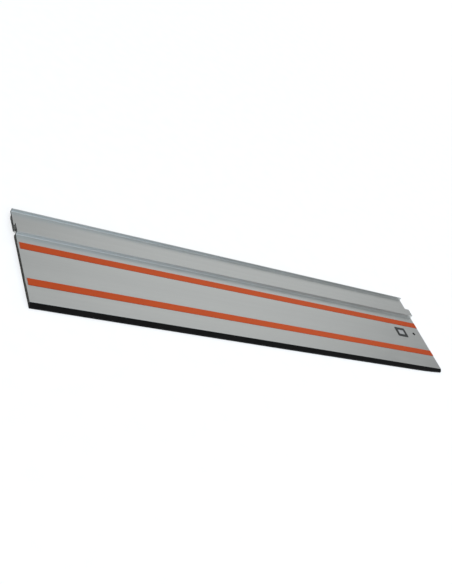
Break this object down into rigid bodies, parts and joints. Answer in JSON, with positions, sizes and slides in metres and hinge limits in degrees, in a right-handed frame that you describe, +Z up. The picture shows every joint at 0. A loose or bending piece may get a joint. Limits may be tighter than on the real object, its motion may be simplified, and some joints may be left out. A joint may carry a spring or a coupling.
{
  "type": "guide rail",
  "caption": "Extruded aluminium guide rail for a plunge-cut saw, with glide strips, a guide rib, a clamp slot, a splinter guard and anti-slip strips.",
  "frame": {"origin": "on the work surface, midway along and midway across the whole rail", "axes": "+X along the rail towards the labelled end, +Y from the cutting edge towards the rear upstand, +Z up from the work surface"},
  "size_m": [0.8, 0.1816, 0.0116],
  "materials": {
    "anodised_aluminium": "natural anodised, fine lines along the rail",
    "orange_glide": "smooth low-friction plastic, satin",
    "black_guard": "satin black",
    "black_grip": "matt cellular rubber",
    "adhesive": "translucent adhesive film",
    "label": "printed film, satin"
  },
  "bodies": {
    "root": {"rail_profile": "anodised_aluminium", "front_glide_strip": "orange_glide", "rear_glide_strip": "orange_glide", "front_glide_adhesive": "adhesive", "rear_glide_adhesive": "adhesive", "splinter_guard": "black_guard", "splinter_guard_adhesive": "adhesive", "front_grip_strip": "black_grip", "rear_grip_strip": "black_grip", "front_grip_adhesive": "adhesive", "rear_grip_adhesive": "adhesive", "blank_label": "label"}
  },
  "joints": []
}
